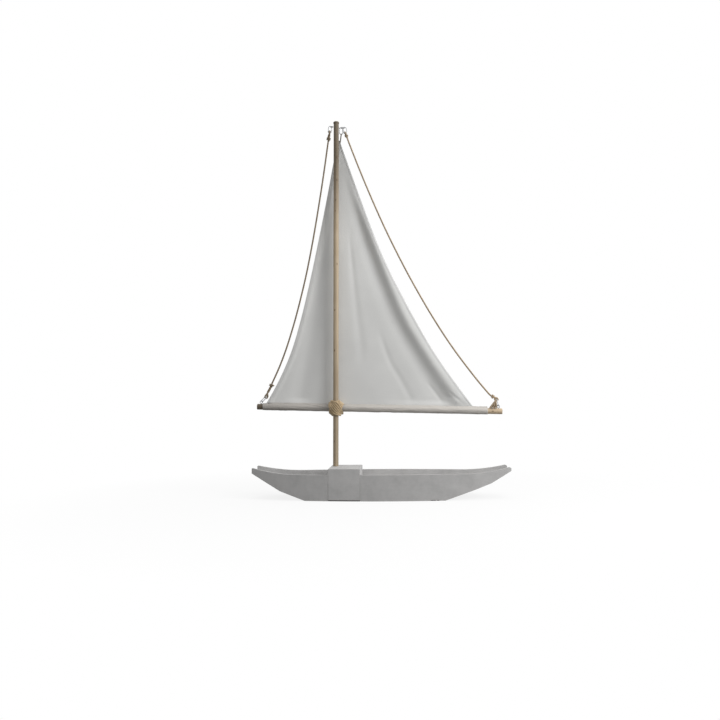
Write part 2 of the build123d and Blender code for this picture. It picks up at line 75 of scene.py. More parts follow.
# Steering points of the two stays, from the upper knot to the lower one.
stay_left_points = [
    (-0.325, 0.0011, 2.230), (-0.3415, 0.0039, 2.105), (-0.359, 0.0069, 1.978), (-0.378, 0.0098, 1.851),
    (-0.398, 0.0127, 1.724), (-0.419, 0.0157, 1.597), (-0.442, 0.0186, 1.470), (-0.467, 0.0215, 1.344),
    (-0.496, 0.0244, 1.219), (-0.527, 0.0273, 1.095), (-0.562, 0.0301, 0.973), (-0.601, 0.0329, 0.853),
    (-0.644, 0.0354, 0.745), (-0.689, 0.0375, 0.651),
]
stay_right_points = [
    (-0.201, 0.0011, 2.231), (-0.158, 0.0037, 2.115), (-0.1135, 0.0064, 1.999), (-0.0675, 0.0090, 1.884),
    (-0.020, 0.0116, 1.770), (0.029, 0.0142, 1.657), (0.0805, 0.0168, 1.546), (0.134, 0.0193, 1.436),
    (0.1895, 0.0218, 1.327), (0.248, 0.0243, 1.219), (0.3075, 0.0267, 1.113), (0.370, 0.0291, 1.009),
    (0.436, 0.0314, 0.906), (0.5075, 0.0336, 0.805), (0.5805, 0.0358, 0.708), (0.625, 0.0370, 0.652),
    (0.664, 0.0380, 0.606),
]

# Edges of the sail from the foot up: share of the sleeve's reach from the mast, share of the rise.
sail_left_edge = [(-0.95, 0.02), (-0.70, 0.13), (-0.45, 0.35), (-0.13, 0.78), (-0.03, 0.94), (0.03, 1.0)]
sail_right_edge = [(0.91, 0.0), (0.70, 0.15), (0.50, 0.345), (0.32, 0.54), (0.16, 0.775), (0.02, 1.0)]

# Folds of the sail: depth away from the viewer, half width at the upper and lower end, then the
# places it passes from the top down, in metres (X, Z).
folds = [
    (0.0105, 0.030, 0.075, [(-0.21, 1.96), (-0.12, 1.66), (-0.04, 1.41), (0.13, 0.97), (0.37, 0.59)]),
    (-0.0122, 0.021, 0.050, [(-0.19, 1.96), (-0.06, 1.62), (0.08, 1.24), (0.21, 0.95), (0.46, 0.59)]),
    (0.008, 0.060, 0.150, [(-0.24, 1.96), (-0.11, 1.40), (0.04, 0.92), (0.22, 0.59)]),
    (0.009, 0.022, 0.060, [(-0.33, 1.80), (-0.38, 1.37), (-0.44, 0.88), (-0.50, 0.59)]),
    (0.0024, 0.016, 0.022, [(0.00, 0.98), (0.04, 0.83), (0.135, 0.68), (0.18, 0.59)]),
    (0.0022, 0.011, 0.015, [(0.29, 0.68), (0.34, 0.61), (0.37, 0.57)]),
    (0.0030, 0.012, 0.030, [(-0.19, 1.60), (-0.17, 1.27), (-0.12, 0.90)]),
    (0.0018, 0.009, 0.014, [(0.42, 0.625), (0.47, 0.575), (0.505, 0.55)]),
]

# Ends of the stays. Columns: name, the stay's end and the point next to it, way the hook pulls
# (X, Z), turn of the hook in degrees, place of the binding (0 at the hook, 1 at the end of the stay),
# turns and size of the twine, and the tail that sticks out (X, Z).
rope_ends = [
    ("stay_left_top", stay_left_points[:2], (-0.14, -1.0), 0, 0.84, 3, 0.0050, (0.012, -0.006)),
    ("stay_left_bottom", stay_left_points[:-3:-1], (0.9, 1.0), 130,
     1.45, 3, 0.0045, (0.009, -0.010)),
    ("stay_right_top", stay_right_points[:2], (0.2, -1.0), 0, 0.36, 3, 0.0032, (0.004, 0.001)),
    ("stay_right_bottom", stay_right_points[:-3:-1], (-0.3, 1.0), 105,
     0.48, 3, 0.0040, (0.004, 0.001)),
]

# Knots in the mast: height, size, and turn from the front in radians. Below them, how light each
# finish is painted along its length: place and share. These tables paint light and shade onto the
# parts; the sleeve's does so only in part.
mast_knots = [(2.11, 0.008, 0.4), (1.96, 0.006, 0.35), (1.83, 0.005, -0.1), (1.76, 0.004, -0.25),
              (1.42, 0.005, 0.5), (1.13, 0.005, -0.4), (0.88, 0.006, -0.5), (0.33, 0.006, -0.6)]
# Painted shade: the mast is darker towards its foot and its top, where the lamp's beam falls off.
mast_painted_shade = [(0.4, 0.72), (1.0, 0.97), (1.6, 0.97), (2.1, 0.32)]
# Painted shade and light: the boom is darker at its left tip and lighter at its right, as the lamp on the
# right lights it.
boom_painted_light = [(-0.75, 0.2), (-0.3, 0.8), (0.5, 1.0), (0.75, 1.15)]
# Painted shade and light: the left stay and its knots are darker, and the right ones lighter, as the lamp
# on the right lights them.
stay_painted_light = [(-0.3, 0.8), (-0.2, 1.25), (0.65, 1.4)]
# Painted shade and light on the back board: darker on the left, lighter on the right.
back_board_painted_light = [(-0.7, 0.85), (0.0, 1.07), (0.6, 1.15)]
# Painted shade: the sail is darker towards its head, where the lamp's beam falls off.
sail_painted_shade = [(1.6, 1.0), (2.1, 0.86)]
# The sleeve is darker towards its left end; in part this is painted shade, where less of the lamp on the
# right reaches.
sleeve_tones_with_painted_shade = [(-0.7, 0.58), (0.0, 0.8), (0.65, 0.88)]

# Finishes that more than one operator names.
rope_finish = "Jute rope, laid in three strands"
lashing_finish = "Jute lashing, laid in three strands"
thread_finish = "Cotton thread, waxed"
sail_finish = "Cotton canvas, plain woven"
sleeve_finish = "Cotton canvas, unbleached"
tape_finish = "Jute webbing, flat woven"

# From where to where a crease runs down the front of the sleeve to the lashing, in X.
sleeve_crease = (-0.50, -0.315)

# The seam on top of the sleeve: its height, and how far before the boom's axis its stitches lie.
seam_height = 0.0075
seam_front = 0.0042

# How the folds calm down: over this height above the sleeve, and over this much below the head.
calm_foot = 0.04
calm_head = 0.70

# The left hem stands proud: how far inside the edge, and its half width. The right one curls back
# over this width, by this share of the roll.
left_hem = (0.020, 0.016)
right_hem = (0.012, 0.6)

# Stitches: thickness, step from one to the next in stitch lengths, and place as a share of the hem.
stitch_thickness = 0.0007
stitch_step = 1.3
stitch_inset = 0.86

# Tape at the head of the sail: where it meets the sail (from the mast, below the head), its width
# and thickness, and the play round the bar of its hook.
strap_root = (0.0231, 0.010)
strap_width = 0.0070
strap_thickness = 0.0011
strap_play = 0.0003

# Strands in every rope and in the twine.
strand_count = 3

# Snap hooks: from the middle to the bar that the rope goes round, and the size of the wire.
hook_half = 0.0225
hook_wire = 0.005

# Knots: play of the rope on the wire, half width of the winding in rope radii, and lay of the twine.
eye_play = 0.0004
knot_width = 1.55
twine_lay = 0.014

# Loose ends under the lower right knot: X where each meets the boom, from the bar of the hook; size
# and lay; where they start (X and Z from the bar, Y from the boom's axis); how far behind that they
# end.
tail_feet = [-0.041, -0.0315, -0.021, -0.0105, -0.0005]
tail_radius = 0.0045
tail_lay = 0.026
tail_start = (-0.002, -0.018, -0.008)
tail_setback = 0.006

# Lashing: slope of each layer in degrees, turns in a layer, degrees from one turn to the next,
# half the length of a turn, rise of the outer layer in rope radii, and lay as a share of the stays'.
lashing_slopes = (50.0, 130.0)
lashing_turns = 6
lashing_fan = 1.3
lashing_reach = 0.0475
lashing_rise = 1.7
lashing_lay = 0.8


def linear(hex_text):
    """An sRGB hex colour as linear red, green and blue."""
    parts = [int(hex_text[i:i + 2], 16) / 255 for i in (1, 3, 5)]
    return tuple(p / 12.92 if p <= 0.04045 else ((p + 0.055) / 1.055) ** 2.4 for p in parts)


def boom_z(x):
    """Height of the boom's axis."""
    return boom_height - (x - mast_x) * math.tan(boom_droop)


# ---- settings ----
def distance(label, text, default, low, high):
    """A length that the panel shows."""
    return bpy.props.FloatProperty(
        name=label, description=text, default=default, min=low, max=high, unit="LENGTH")


def amount(label, text, default, high, kind="NONE"):
    """A plain number that the panel shows."""
    return bpy.props.FloatProperty(
        name=label, description=text, default=default, min=0.0, max=high, subtype=kind)


def tint(label, text, hex_text):
    """A colour that the panel shows."""
    return bpy.props.FloatVectorProperty(
        name=label, description=text, subtype="COLOR", default=linear(hex_text))


class BoatRopes(bpy.types.PropertyGroup):
    rope_diameter: distance("Rope", "Diameter of the stays", 0.011, 0.002, 0.02)
    lashing_diameter: distance("Lashing", "Diameter of the rope that binds the boom to the mast",
                               0.009, 0.002, 0.02)
    lay_length: distance("Lay", "Length of rope in which a strand goes once round", 0.034, 0.01, 0.1)


class BoatCloth(bpy.types.PropertyGroup):
    cloth_thickness: distance("Cloth", "Thickness of the sailcloth", 0.0012, 0.0004, 0.004)
    hem_width: distance("Hem", "Width of the turned hem along the edges", 0.012, 0.005, 0.04)
    hem_roll: distance("Hem roll", "How far the hems stand proud of the sail", 0.0055, 0.0, 0.01)
    stitch_length: distance("Stitch", "Length of one stitch", 0.005, 0.002, 0.02)
    fold_depth: amount("Folds", "How deep the folds of the sail are", 1.0, 2.0, "FACTOR")


class BoatColours(bpy.types.PropertyGroup):
    hull_paint: tint("Hull paint", "Matt paint on the boards and the block", "#AEADAC")
    pine: tint("Pine", "Pale wood of the mast and the boom", "#BAA990")
    jute: tint("Stays", "Jute of the stays and their knots", "#988770")
    # The lashing's jute is a lighter copy of the stays' jute: painted light that lifts the shade between
    # its turns.
    lashing_jute_painted_light: tint("Lashing", "Jute of the lashing, painted lighter than that of the stays", "#C2AD8C")
    sailcloth: tint("Sail", "Cotton of the sail", "#DEDEDC")
    sleeve_cloth: tint("Sleeve", "Unbleached cotton of the sleeve on the boom", "#DAD5CE")
    steel: tint("Snap hooks", "Bright steel of the snap hooks", "#A9ABAD")
    dull_steel: tint("Screw eyes", "Dull steel of the screw eyes", "#77777A")
    dark_pad: tint("Dark pad", "Plate under the block and the two strips under the hull", "#4A4846")


class BoatLight(bpy.types.PropertyGroup):
    key_power: amount("Key", "Power of the large lamp on the right, in watts", 280.0, 2000.0)
    sky_strength: amount("Sky", "Strength of the even light from all round", 0.56, 3.0)


# ---- helpers for meshes ----
def new_curve(name):
    """An empty curve in space."""
    curve = bpy.data.curves.new(name, "CURVE")
    curve.dimensions = "3D"
    return curve


def add_line(curve, kind, points, radius, closed):
    """Add a line of the given kind to a curve."""
    spline = curve.splines.new(kind)
    spline.points.add(len(points) - 1)
    for control, place in zip(spline.points, points):
        control.co = (*place, 1.0)
        control.radius = radius
    spline.use_cyclic_u = closed
    return spline


def curve_mesh(curve):
    """The mesh that a curve draws. The curve is removed."""
    name = curve.name
    holder = bpy.data.objects.new(name, curve)
    mesh = bpy.data.meshes.new_from_object(holder)
    mesh.name = name
    bpy.data.objects.remove(holder)
    bpy.data.curves.remove(curve)
    return mesh


def centreline(name, points, cyclic=False):
    """Read the smooth line that the given points steer."""
    curve = new_curve(name)
    curve.resolution_u = 24
    spline = add_line(curve, "NURBS", points, 1.0, cyclic)
    spline.order_u = 3
    spline.use_endpoint_u = not cyclic
    mesh = curve_mesh(curve)
    line = np.array([v.co for v in mesh.vertices])
    bpy.data.meshes.remove(mesh)
    return np.vstack([line, line[:1]]) if cyclic else line


def evenly(line, step):
    """The same line with its points evenly spaced, and its length."""
    gaps = np.linalg.norm(np.diff(line, axis=0), axis=1)
    along = np.concatenate([[0.0], np.cumsum(gaps)])
    count = max(2, round(along[-1] / step)) + 1
    wanted = np.linspace(0.0, along[-1], count)
    return np.stack([np.interp(wanted, along, line[:, k]) for k in range(3)], axis=1), along[-1]


def laid(line, radius, lay, across, closed=False, phase=0.0):
    """Strands twisted round a line: each is its points, its radius and whether it closes."""
    strand = radius / (1 + 1 / math.sin(math.pi / strand_count))
    points, length = evenly(line, lay / 12)
    turns = length / lay
    if closed:
        turns = max(1, round(turns))
    tangent = np.gradient(points, axis=0)
    if closed:
        tangent[0] = tangent[-1] = points[1] - points[-2]
    tangent /= np.linalg.norm(tangent, axis=1)[:, None]
    side = np.array(across) - tangent * (tangent @ np.array(across))[:, None]
    side /= np.linalg.norm(side, axis=1)[:, None]
    up = np.cross(tangent, side)
    share = np.linspace(0.0, 1.0, len(points))
    made = []
    for i in range(strand_count):
        angle = 2 * math.pi * (turns * share + i / strand_count) + phase
        offset = np.cos(angle)[:, None] * side + np.sin(angle)[:, None] * up
        path = points + (radius - strand) * offset
        made.append((path[:-1] if closed else path, strand, closed))
    return made


def tube_mesh(name, tubes):
    """One mesh of round tubes."""
    curve = new_curve(name)
    curve.bevel_depth = 1.0
    curve.bevel_resolution = 2
    curve.use_fill_caps = True
    for points, radius, closed in tubes:
        add_line(curve, "POLY", points, radius, closed)
    return curve_mesh(curve)


def clear_of_rod(line, centre, way, reach):
    """The same line, pushed out to at least this reach from the axis of a straight rod."""
    away = line - np.array(centre)
    away -= np.outer(away @ np.array(way), way)
    far = np.linalg.norm(away, axis=1)[:, None]
    return line + away / far * np.maximum(reach - far, 0.0)


def add_piece(name, mesh, finish, replaces=()):
    """A finished piece at the origin that rides on the rig."""
    piece = bpy.data.objects.new(name, mesh)
    bpy.context.collection.objects.link(piece)
    mesh.materials.clear()
    mesh.materials.append(bpy.data.materials[finish])
    for polygon in mesh.polygons:
        polygon.use_smooth = True
    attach(piece, "rig")
    if replaces:
        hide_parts(*replaces)
    return piece


def thicken(piece, thickness, offset):
    """Give a sheet its thickness: an offset of -1 adds it inside, 0 on both sides."""
    wall = piece.modifiers.new("thickness", "SOLIDIFY")
    wall.thickness = thickness
    wall.offset = offset
    return wall


def unwrap(bm, flat):
    """Give each corner of each face its place on the flat cloth, where the weave is drawn."""
    layer = bm.loops.layers.uv.new("UVMap")
    for face in bm.faces:
        for loop in face.loops:
            loop[layer].uv = flat(loop.vert.co)


def mesh_of(bm, name):
    """The mesh of a finished bmesh."""
    mesh = bpy.data.meshes.new(name)
    bm.to_mesh(mesh)
    bm.free()
    return mesh


# ---- helpers for materials ----
def node(tree, kind, inputs=None, stops=(), **settings):
    """Add a node, set it, and give its inputs values or links and its ramp its stops. A node given
    as an input is linked by its first output."""
    made = tree.nodes.new("ShaderNode" + kind)
    for name, value in settings.items():
        setattr(made, name, value)
    for socket, value in (inputs or {}).items():
        if isinstance(value, bpy.types.Node):
            value = value.outputs[0]
        if isinstance(value, bpy.types.NodeSocket):
            tree.links.new(value, made.inputs[socket])
        else:
            made.inputs[socket].default_value = value
    for k, (place, colour) in enumerate(stops):
        steps = made.color_ramp.elements
        step = steps[k] if k < len(steps) else steps.new(place)
        step.position = place
        step.color = (*colour, 1.0)
    return made


def clear_tree(owner):
    """Empty the node tree of a material or a world. Returns what adds a node to it."""
    owner.use_nodes = True
    owner.node_tree.nodes.clear()
    return functools.partial(node, owner.node_tree)


def new_material(name, mix, *settings):
    """A material whose shader a function mixes. The function is given what adds a node, the
    object's own coordinates and the settings."""
    material = bpy.data.materials.new(name)
    add = clear_tree(material)
    shader = mix(add, add("TexCoord").outputs["Object"], *settings)
    add("OutputMaterial", {0: shader})
    return material


def seen_by(add, *rays):
    """1 for light rays of the named kinds and 0 for all others."""
    path = add("LightPath")
    seen = path.outputs[rays[0]]
    for ray in rays[1:]:
        seen = add("Math", {0: seen, 1: path.outputs[ray]}, operation="MAXIMUM")
    return seen


def per_metre(millimetres):
    """Scale of a pattern whose marks lie this far apart."""
    return 1000.0 / millimetres


# Radians to the metre of a wave texture of scale 1, along X, Y or Z. A slanting one has 0.87 of it.
wave_radians = 20


def stretch(axis, across, along):
    """Scales of a pattern whose marks lie this far apart across an axis and along it."""
    scales = [per_metre(across)] * 3
    scales[axis] = per_metre(along)
    return scales


def toned(add, colour, place, axis, tones):
    """The colour, made lighter or darker along one axis to paint light and shade along a part: tones
    lists places in metres and shares.
    """
    first, last = tones[0][0], tones[-1][0]
    across = add("SeparateXYZ", {0: place}).outputs[axis]
    share = add("MapRange", {0: across, 1: first, 2: last})
    stops = [((at - first) / (last - first), (tone, tone, tone)) for at, tone in tones]
    grey = add("ValToRGB", {0: share}, stops)
    return add("Mix", {0: 1.0, 6: colour, 7: grey}, data_type="RGBA", blend_type="MULTIPLY").outputs[2]


def shade(colour, factor):
    """The same colour, lighter or darker."""
    return tuple(min(1.0, c * factor) for c in colour)


def painted_wood(add, place, colour, grain_axis, tones):
    """Softwood under one coat of matt emulsion, laid on with a brush: growth lines 8 mm apart and
    brush marks 2 mm apart show through it, and the paint is rubbed thin along the edges."""
    wide = add("Mapping", {"Vector": place, "Scale": stretch(grain_axis, 8, 400)})
    fine = add("Mapping", {"Vector": place, "Scale": stretch(grain_axis, 2, 70)})
    grain = add("TexNoise", {"Vector": wide, "Scale": 1.0, "Detail": 5.0, "Roughness": 0.6})
    brush = add("TexNoise", {"Vector": fine, "Scale": 1.0, "Detail": 3.0})
    mottle = add("TexNoise", {"Vector": place, "Scale": per_metre(90), "Detail": 6.0, "Roughness": 0.66})
    lines = add("Mix", {0: 0.5, 2: grain, 3: brush})
    tone = add("Mix", {0: 0.25, 2: mottle, 3: lines})
    stops = [(0.34, shade(colour, 0.87)), (0.5, colour), (0.66, shade(colour, 1.10))]
    paint = add("ValToRGB", {0: tone}, stops)
    if tones:
        paint = toned(add, paint, place, 0, tones)
    rounded = add("Bevel", {"Radius": 0.0025}, samples=4)
    flat = add("NewGeometry").outputs["Normal"]
    facing = add("VectorMath", {0: rounded, 1: flat}, operation="DOT_PRODUCT").outputs["Value"]
    edge = add("MapRange", {0: facing, 1: 0.80, 2: 0.985, 3: 0.5, 4: 0.0})
    rubbed = add("Math", {0: edge, 1: mottle}, operation="MULTIPLY")
    bare_wood = (*linear("#CFC9BD"), 1.0)
    paint = add("Mix", {0: rubbed, 6: paint, 7: bare_wood}, data_type="RGBA").outputs[2]
    bump = add("Bump", {"Height": lines, "Strength": 0.25, "Distance": 0.0007})
    rough = add("MapRange", {0: mottle, 3: 0.62, 4: 0.80})
    return add("BsdfPrincipled", {"Base Color": paint, "Roughness": rough, "Normal": bump})


def pine_rod(add, place, colour, axis, tones, knots):
    """Turned and sanded pine rod, rubbed with thin wax: late-wood lines 5 mm apart and pores
    0.8 mm apart run along it, with a few small brown knots, and it is browner where handled."""
    wide = add("Mapping", {"Vector": place, "Scale": stretch(axis, 5, 600)})
    fine = add("Mapping", {"Vector": place, "Scale": stretch(axis, 0.8, 25)})
    lines = add("TexNoise", {"Vector": wide, "Scale": 1.0, "Detail": 3.0, "Distortion": 0.6})
    pores = add("TexNoise", {"Vector": fine, "Scale": 1.0, "Detail": 4.0})
    patch = add("TexNoise", {"Vector": place, "Scale": per_metre(120), "Detail": 2.0})
    stops = [(0.36, shade(colour, 1.10)), (0.52, colour), (0.66, shade(colour, 0.78))]
    wood = add("ValToRGB", {0: lines}, stops)
    handled = add("ValToRGB", {0: patch}, [(0.3, (0.90, 0.87, 0.84)), (0.7, (1.0, 1.0, 1.0))])
    wood = add("Mix", {0: 1.0, 6: wood, 7: handled}, data_type="RGBA", blend_type="MULTIPLY").outputs[2]
    wood = toned(add, wood, place, axis, tones)
    knot_wood = (*linear("#5A4634"), 1.0)
    squeeze = [1.0, 1.0, 1.0]
    squeeze[axis] = 0.55
    for centre, size in knots:
        away = add("VectorMath", {0: place, 1: centre}, operation="SUBTRACT")
        oval = add("VectorMath", {0: away, 1: squeeze}, operation="MULTIPLY")
        reach = add("VectorMath", {0: oval}, operation="LENGTH").outputs["Value"]
        mask = add("MapRange", {0: reach, 1: size * 0.4, 2: size, 3: 0.7, 4: 0.0})
        wood = add("Mix", {0: mask, 6: wood, 7: knot_wood}, data_type="RGBA").outputs[2]
    height = add("Mix", {0: 0.5, 2: lines, 3: pores})
    bump = add("Bump", {"Height": height, "Strength": 0.3, "Distance": 0.0005})
    return add("BsdfPrincipled", {"Base Color": wood, "Roughness": 0.6, "Normal": bump,
                                  "Specular IOR Level": 0.3})


def jute_rope(add, place, colour, tones):
    """Jute, spun from coarse fibres: matt, with pale and dark fibres 0.9 mm apart and longer
    patches where the rope has picked up dust."""
    fibre = add("TexNoise", {"Vector": place, "Scale": per_metre(0.9), "Detail": 3.0})
    patch = add("TexNoise", {"Vector": place, "Scale": per_metre(30), "Detail": 2.0})
    tone = add("Mix", {0: 0.45, 2: fibre, 3: patch})
    stops = [(0.3, shade(colour, 0.62)), (0.5, colour), (0.72, shade(colour, 1.25))]
    dyed = add("ValToRGB", {0: tone}, stops)
    if tones:
        dyed = toned(add, dyed, place, 0, tones)
    bump = add("Bump", {"Height": fibre, "Strength": 0.6, "Distance": 0.0005})
    return add("BsdfPrincipled", {"Base Color": dyed, "Roughness": 0.9, "Normal": bump,
                                  "Specular IOR Level": 0.2, "Sheen Weight": 0.25})


def woven_cotton(add, place, colour, through, axis, tones):
    """Plain-woven cotton canvas, washed: real threads are 0.5 mm apart, and they are drawn 1.6 mm
    apart so that the weave can be seen. Thick threads and pale clouds vary it, and a little light
    comes through."""
    flat = add("UVMap", uv_map="UVMap")
    split = add("SeparateXYZ", {0: flat})
    per_thread = 2 * math.pi * per_metre(1.6)
    waves = []
    for k in (0, 1):
        turn = add("Math", {0: split.outputs[k], 1: per_thread}, operation="MULTIPLY")
        waves.append(add("Math", {0: turn}, operation="SINE"))
    weave = add("Math", {0: waves[0], 1: waves[1]}, operation="MULTIPLY")
    slub = add("TexNoise", {"Vector": flat, "Scale": per_metre(6), "Detail": 3.0})
    cloud = add("TexNoise", {"Vector": flat, "Scale": per_metre(200), "Detail": 3.0})
    tone = add("Mix", {0: 0.4, 2: cloud, 3: slub})
    dyed = add("ValToRGB", {0: tone}, [(0.3, shade(colour, 0.95)), (0.7, shade(colour, 1.04))])
    dyed = toned(add, dyed, place, axis, tones)
    height = add("Mix", {0: 0.5, 2: weave, 3: slub})
    bump = add("Bump", {"Height": height, "Strength": 0.2, "Distance": 0.0003})
    surface = add("BsdfPrincipled", {"Base Color": dyed, "Roughness": 0.9, "Normal": bump,
                                     "Specular IOR Level": 0.2, "Sheen Weight": 0.1})
    thin = add("BsdfTranslucent", {"Color": dyed, "Normal": bump})
    return add("MixShader", {0: through, 1: surface, 2: thin})


def cotton_thread(add, place, colour):
    """Three-ply sewing thread: matt. Real plies are 0.8 mm apart; the slanting marks that are drawn
    for them are 6 mm apart, about one to a stitch."""
    ply = add("TexWave", {"Vector": place, "Scale": per_metre(0.8) / wave_radians},
              bands_direction="DIAGONAL").outputs[1]
    tone = add("ValToRGB", {0: ply}, [(0.2, shade(colour, 0.8)), (0.8, colour)])
    return add("BsdfPrincipled", {"Base Color": tone, "Roughness": 0.8, "Sheen Weight": 0.2})


def webbing(add, place, colour):
    """Flat-woven jute tape: matt brown, with coarse fibres. Real cross ribs are 1.5 mm apart; they
    are drawn 9 mm apart."""
    ribs = add("TexWave", {"Vector": place, "Scale": per_metre(1.5) / wave_radians},
               bands_direction="Z").outputs[1]
    fibre = add("TexNoise", {"Vector": place, "Scale": per_metre(1), "Detail": 3.0})
    height = add("Mix", {0: 0.5, 2: ribs, 3: fibre})
    tone = add("ValToRGB", {0: height}, [(0.25, shade(colour, 0.6)), (0.7, colour)])
    bump = add("Bump", {"Height": height, "Strength": 0.5, "Distance": 0.0004})
    return add("BsdfPrincipled", {"Base Color": tone, "Roughness": 0.9, "Normal": bump})


def wire_steel(add, place, colour, roughness):
    """Drawn steel wire with a thin coat of zinc: a soft grey bloom in patches 5 mm across."""
    bloom = add("TexNoise", {"Vector": place, "Scale": per_metre(5), "Detail": 4.0})
    metal = add("ValToRGB", {0: bloom}, [(0.3, shade(colour, 0.7)), (0.7, shade(colour, 1.15))])
    rough = add("MapRange", {0: bloom, 3: roughness - 0.08, 4: roughness + 0.12})
    return add("BsdfPrincipled", {"Base Color": metal, "Roughness": rough, "Metallic": 1.0})


def rubber_pad(add, place, colour):
    """Bonded rubber sheet: dull and dark, with a crumb of 2 mm."""
    crumb = add("TexNoise", {"Vector": place, "Scale": per_metre(2), "Detail": 3.0})
    tone = add("ValToRGB", {0: crumb}, [(0.35, shade(colour, 0.7)), (0.65, shade(colour, 1.25))])
    bump = add("Bump", {"Height": crumb, "Strength": 0.4, "Distance": 0.0005})
    return add("BsdfPrincipled", {"Base Color": tone, "Roughness": 0.85, "Normal": bump})


def finish_nodes(material, patterns):
    """Give the carried-over nodes whose names fit a pattern their finish."""
    for name in {n for pattern in patterns for n in fnmatch.filter(frame["nodes"], pattern)}:
        slots = frame["nodes"][name].material_slots
        for slot in slots:
            slot.material = material
        if not slots:
            frame["nodes"][name].data.materials.append(material)


# ---- cloth ----
def edge_line(edge, reach):
    """A smooth line along an edge of the sail, as X for a rising Z."""
    rise = head_height - boom_height
    points = [(mast_x + across * reach, 0.0, boom_height + up * rise) for across, up in edge]
    line = centreline("edge", points)
    order = np.argsort(line[:, 2])
    return line[order, 2], line[order, 0]


def cloth_edges(z):
    """X of the left and the right edge of the sail at height Z."""
    left_z, left_x = edge_line(sail_left_edge, mast_x - sleeve_box[0][0])
    right_z, right_x = edge_line(sail_right_edge, sleeve_box[1][0] - mast_x)
    return np.interp(z, left_z, left_x), np.interp(z, right_z, right_x)


def cloth_places(column, columns, up):
    """X and Z on the flat sail. The first and last few columns lie in the hems, at fixed widths."""
    # Places of those columns, as shares of the hem's width.
    hem_steps = np.array([0.0, 0.12, 0.5, 0.88, 1.0, 1.08])
    deep = len(hem_steps) - 1
    full = bpy.context.scene.boat_cloth.hem_width
    z = boom_height + up * (head_height - boom_height)
    # The foot follows the sleeve, so height depends on X, and a few rounds settle both.
    for _ in range(4):
        x0, x1 = cloth_edges(z)
        hem = np.minimum(full, 0.3 * (x1 - x0))
        inner = hem * hem_steps[-1]
        from_left = np.minimum(column, columns - column)
        in_hem = hem * np.interp(from_left, range(deep + 1), hem_steps)
        share = np.clip((column - deep) / (columns - 2 * deep), 0.0, 1.0)
        # The columns lie closer together next to both hems.
        share -= 0.08 * np.sin(2 * math.pi * share)
        middle = x0 + inner + share * (x1 - x0 - 2 * inner)
        x = np.where(column < deep, x0 + in_hem, np.where(column > columns - deep, x1 - in_hem, middle))
        foot = boom_z(x) + sleeve_radius
        z = foot + up * (head_height - foot)
    return x, z


def smooth_step(t):
    """From 0 to 1 as t goes from 0 to 1, level at both ends."""
    t = np.clip(t, 0.0, 1.0)
    return t * t * (3 - 2 * t)


def fold_offset(x, z):
    """How far the folds and the hems push the cloth away from the viewer."""
    cloth = bpy.context.scene.boat_cloth
    total = np.zeros_like(x)
    for depth, upper, lower, places in folds:
        line = centreline("fold", [(a, 0.0, b) for a, b in places])
        path_z = line[::-1, 2]
        path_x = line[::-1, 0]
        top, low = path_z[-1], path_z[0]
        share = (z - low) / (top - low)
        middle = np.interp(z, path_z, path_x)
        width = lower + (upper - lower) * np.clip(share, 0.0, 1.0)
        # A fold dies away below its lower end, and over its upper third and a little beyond.
        fade = smooth_step((share + 0.20) / 0.22) * smooth_step((1.15 - share) / 0.45)
        total += depth * fade * np.exp(-((x - middle) / width) ** 2)
    total *= cloth.fold_depth
    calm = smooth_step((z - boom_z(x) - sleeve_radius) / calm_foot)
    head = smooth_step((head_height - z) / calm_head)
    total *= (0.15 + 0.85 * calm) * (0.1 + 0.9 * head)
    x0, x1 = cloth_edges(z)
    broad = smooth_step((x1 - x0) / 0.10)
    total -= cloth.hem_roll * broad * np.exp(-((x - x0 - left_hem[0]) / left_hem[1]) ** 2)
    total += cloth.hem_roll * broad * right_hem[1] * np.exp((x - x1) / right_hem[0])
    return total


def cloth_y(x, z):
    """Y of the middle of the cloth."""
    return boom_y + fold_offset(x, z)


def sleeve_seam(x, angle):
    """Height of the seam on top of the sleeve; a quarter of it at the left end and at the lashing."""
    ridge = seam_height * np.exp(-((angle - math.pi / 2) / 0.22) ** 2)
    pressed = 0.25 + 0.75 * smooth_step((np.abs(x - mast_x) - 0.035) / 0.03)
    return ridge * pressed * (0.25 + 0.75 * smooth_step((x + 0.73) / 0.06))


